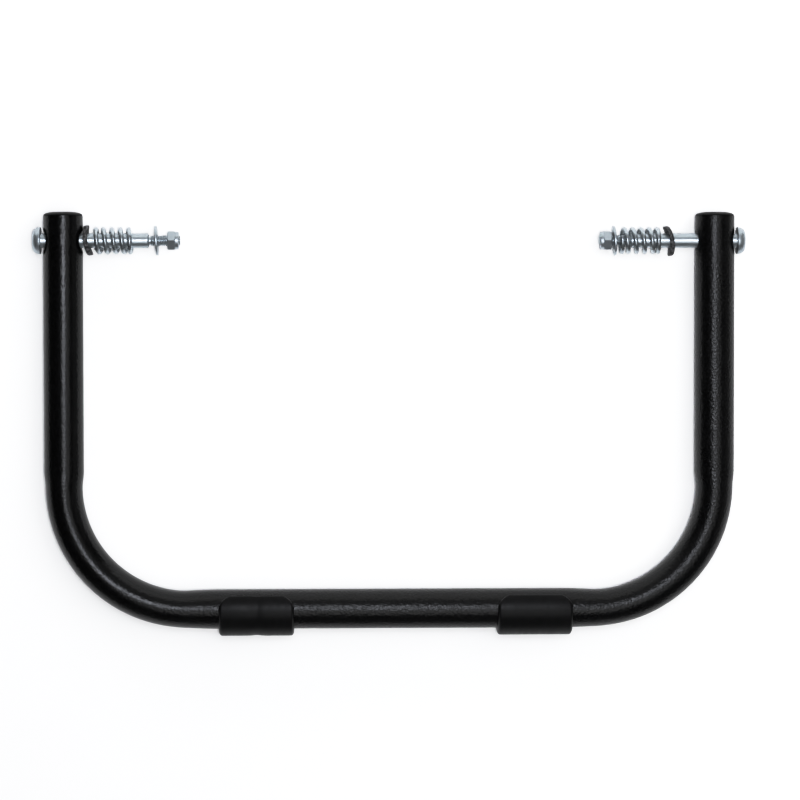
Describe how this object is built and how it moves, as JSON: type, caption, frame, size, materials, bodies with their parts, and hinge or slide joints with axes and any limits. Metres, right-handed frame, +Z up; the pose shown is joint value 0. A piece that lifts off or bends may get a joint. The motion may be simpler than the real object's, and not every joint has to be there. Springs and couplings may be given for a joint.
{
  "type": "u-shaped pivot bar",
  "caption": "Bent round-tube U bar with a sprung shoulder bolt through each leg end and push-on clips on its crossbar.",
  "frame": {"origin": "on the surface the bar lies on (the clips' lowest line), under the middle of its bounding box", "axes": "+X along the crossbar and along both bolts, from the left leg to the right one; +Y along the legs, from the crossbar to the leg ends; +Z up, square to the plane of the U"},
  "size_m": [0.3976, 0.2366, 0.0298],
  "materials": {
    "powder_coat": "fine-textured satin black powder coat on steel tube",
    "plug_plastic": "satin moulded black plastic",
    "clip_rubber": "matt moulded black rubber, slightly greyer than the tube",
    "saddle_rubber": "matt mottled black rubber",
    "zinc": "bright zinc plating, slightly bluish",
    "spring_zinc": "bright zinc-plated drawn wire",
    "nylon": "pale natural nylon"
  },
  "bodies": {
    "bar": {"bar_tube": "powder_coat", "left_end_plug": "plug_plastic", "right_end_plug": "plug_plastic", "left_clip": "clip_rubber", "right_clip": "clip_rubber"},
    "left_bolt": {"left_pivot_bolt": "zinc"},
    "left_saddle": {"left_saddle_washer": "saddle_rubber"},
    "left_coil": {"left_spring": "spring_zinc"},
    "left_washer": {"left_flat_washer": "zinc"},
    "left_nut_carrier": {"left_nylon_insert": "nylon"},
    "left_nut": {"left_lock_nut": "zinc"},
    "right_bolt": {"right_pivot_bolt": "zinc"},
    "right_saddle": {"right_saddle_washer": "saddle_rubber"},
    "right_coil": {"right_spring": "spring_zinc"},
    "right_washer": {"right_flat_washer": "zinc"},
    "right_nut_carrier": {"right_nylon_insert": "nylon"},
    "right_nut": {"right_lock_nut": "zinc"}
  },
  "joints": [
    {"name": "left_bolt_pivot", "type": "hinge", "parent": "bar", "child": "left_bolt", "pos_m": [-0.182, 0.10245, 0.0149], "axis": [1, 0, 0], "continuous": true},
    {"name": "left_saddle_slide", "type": "slide", "parent": "left_bolt", "child": "left_saddle", "axis": [1, 0, 0], "range_m": [0, 0.0041]},
    {"name": "left_spring_slide", "type": "slide", "parent": "left_saddle", "child": "left_coil", "axis": [1, 0, 0], "range_m": [-0.0004, 0.0046]},
    {"name": "left_washer_slide", "type": "slide", "parent": "left_bolt", "child": "left_washer", "axis": [1, 0, 0], "range_m": [-0.0032, 0.0015]},
    {"name": "left_nut_travel", "type": "slide", "parent": "left_bolt", "child": "left_nut_carrier", "axis": [1, 0, 0], "range_m": [-0.0034, 0.004]},
    {"name": "left_nut_turn", "type": "hinge", "parent": "left_nut_carrier", "child": "left_nut", "pos_m": [-0.12, 0.10245, 0.0149], "axis": [1, 0, 0], "range_deg": [-1224, 1440]},
    {"name": "right_bolt_pivot", "type": "hinge", "parent": "bar", "child": "right_bolt", "pos_m": [0.182, 0.10245, 0.0149], "axis": [1, 0, 0], "continuous": true},
    {"name": "right_spring_slide", "type": "slide", "parent": "right_bolt", "child": "right_coil", "axis": [1, 0, 0], "range_m": [-0.001, 0.0087]},
    {"name": "right_saddle_slide", "type": "slide", "parent": "right_coil", "child": "right_saddle", "axis": [1, 0, 0], "range_m": [-0.0023, 0.0031]},
    {"name": "right_washer_slide", "type": "slide", "parent": "right_bolt", "child": "right_washer", "axis": [1, 0, 0], "range_m": [-0.0007, 0.0006]},
    {"name": "right_nut_travel", "type": "slide", "parent": "right_bolt", "child": "right_nut_carrier", "axis": [1, 0, 0], "range_m": [-0.0045, 0]},
    {"name": "right_nut_turn", "type": "hinge", "parent": "right_nut_carrier", "child": "right_nut", "pos_m": [0.12, 0.10245, 0.0149], "axis": [1, 0, 0], "range_deg": [-1620, 0]}
  ],
  "couplings": [
    {"joint": "left_nut_turn", "follows": "left_nut_travel", "rad_per_m": 6283.2},
    {"joint": "right_nut_turn", "follows": "right_nut_travel", "rad_per_m": 6283.2}
  ]
}
